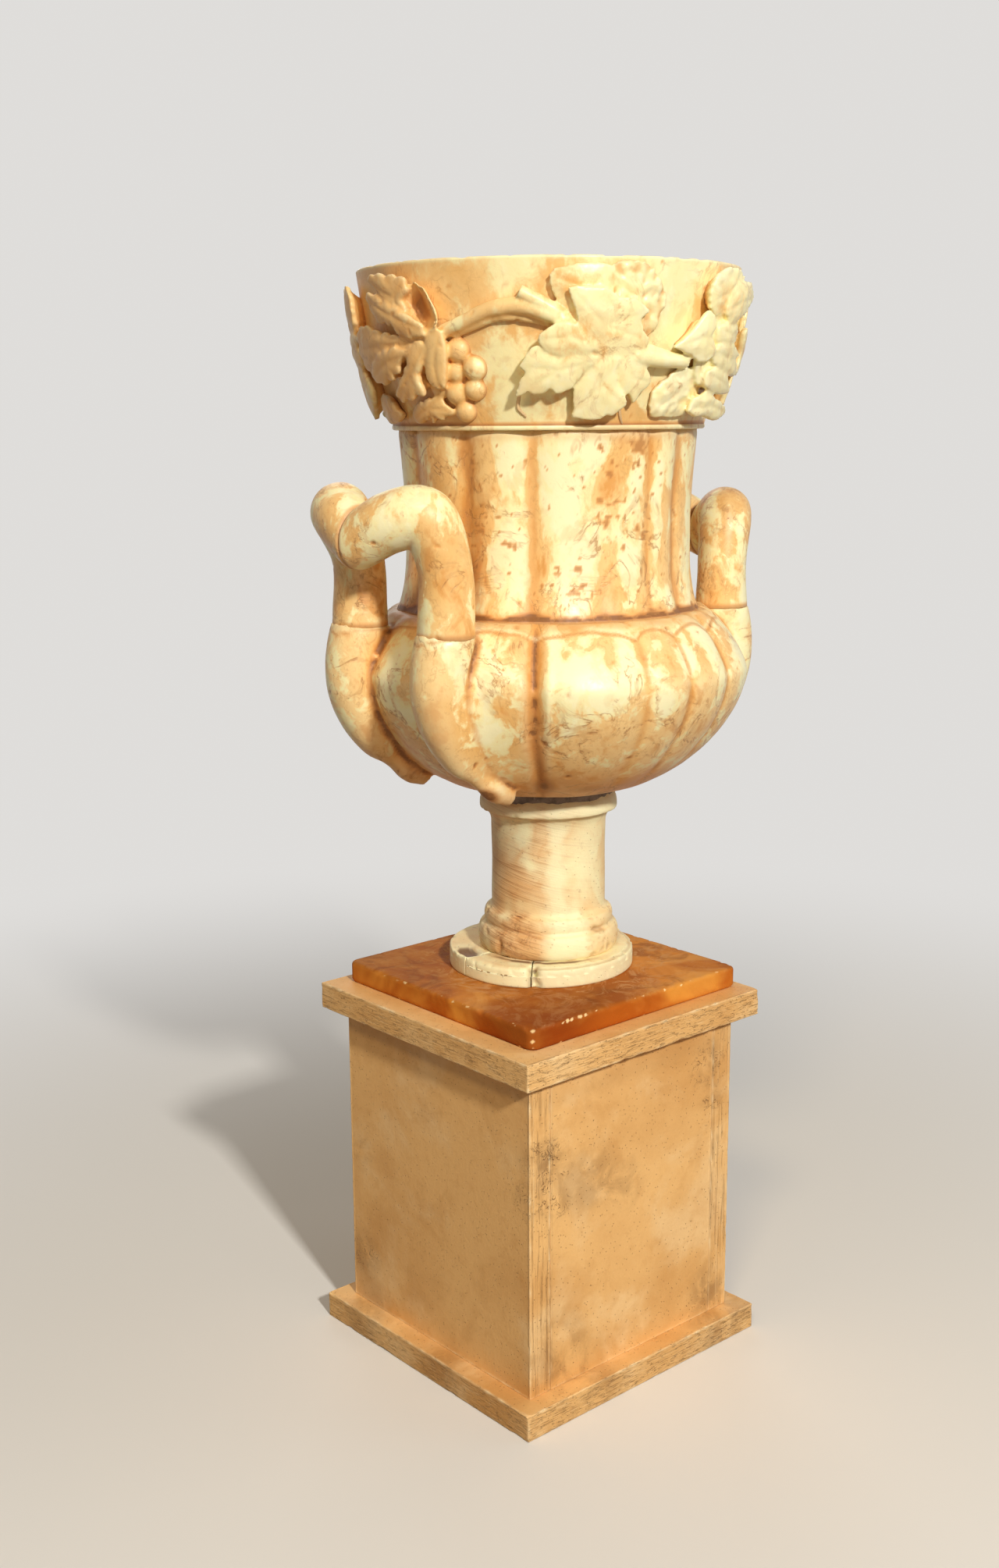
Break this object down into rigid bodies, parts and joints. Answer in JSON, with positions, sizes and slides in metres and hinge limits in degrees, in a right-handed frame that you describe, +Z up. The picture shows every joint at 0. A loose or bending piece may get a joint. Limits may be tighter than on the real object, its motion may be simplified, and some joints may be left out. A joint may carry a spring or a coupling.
{
  "type": "marble vase",
  "caption": "Marble urn with a carved vine-leaf band, fluted neck, lobed bowl, looped handles and a turned foot, on an onyx plate and a square stone pedestal.",
  "frame": {"origin": "centre of the underside of the pedestal's base slab", "axes": "+Z up along the vase; X runs through the handles, with one row of pedestal sides along X and the other along Y; the picture's camera stands at -X and -Y"},
  "size_m": [0.3822, 0.2956, 0.811],
  "materials": {
    "vase_marble": "worn polish",
    "foot_marble": "rasped, dusty",
    "onyx": "dull polish, dusty",
    "pedestal_stone": "honed, with sawn edges",
    "mortar": "rough",
    "iron": "dull, dark"
  },
  "bodies": {
    "pedestal": {"base_slab": "pedestal_stone", "cap_slab": "pedestal_stone", "panel_left": "pedestal_stone", "panel_right": "pedestal_stone", "panel_front": "pedestal_stone", "panel_back": "pedestal_stone"},
    "vase": {"bowl": "vase_marble", "neck": "vase_marble", "vine_band": "vase_marble", "handle_left_front": "vase_marble", "handle_left_rear": "vase_marble", "handle_right_front": "vase_marble", "handle_right_rear": "vase_marble", "stem": "foot_marble", "disc_front_left": "foot_marble", "disc_front_right": "foot_marble", "disc_rear": "foot_marble", "onyx_plate": "onyx", "mortar_bed": "mortar", "tie_rod": "iron", "washer_lower": "iron", "nut_lower": "iron", "washer_upper": "iron", "nut_upper": "iron"}
  },
  "joints": [
    {"name": "vase_lift", "type": "slide", "parent": "pedestal", "child": "vase", "axis": [0, 0, 1], "range_m": [0, 0.1]}
  ]
}
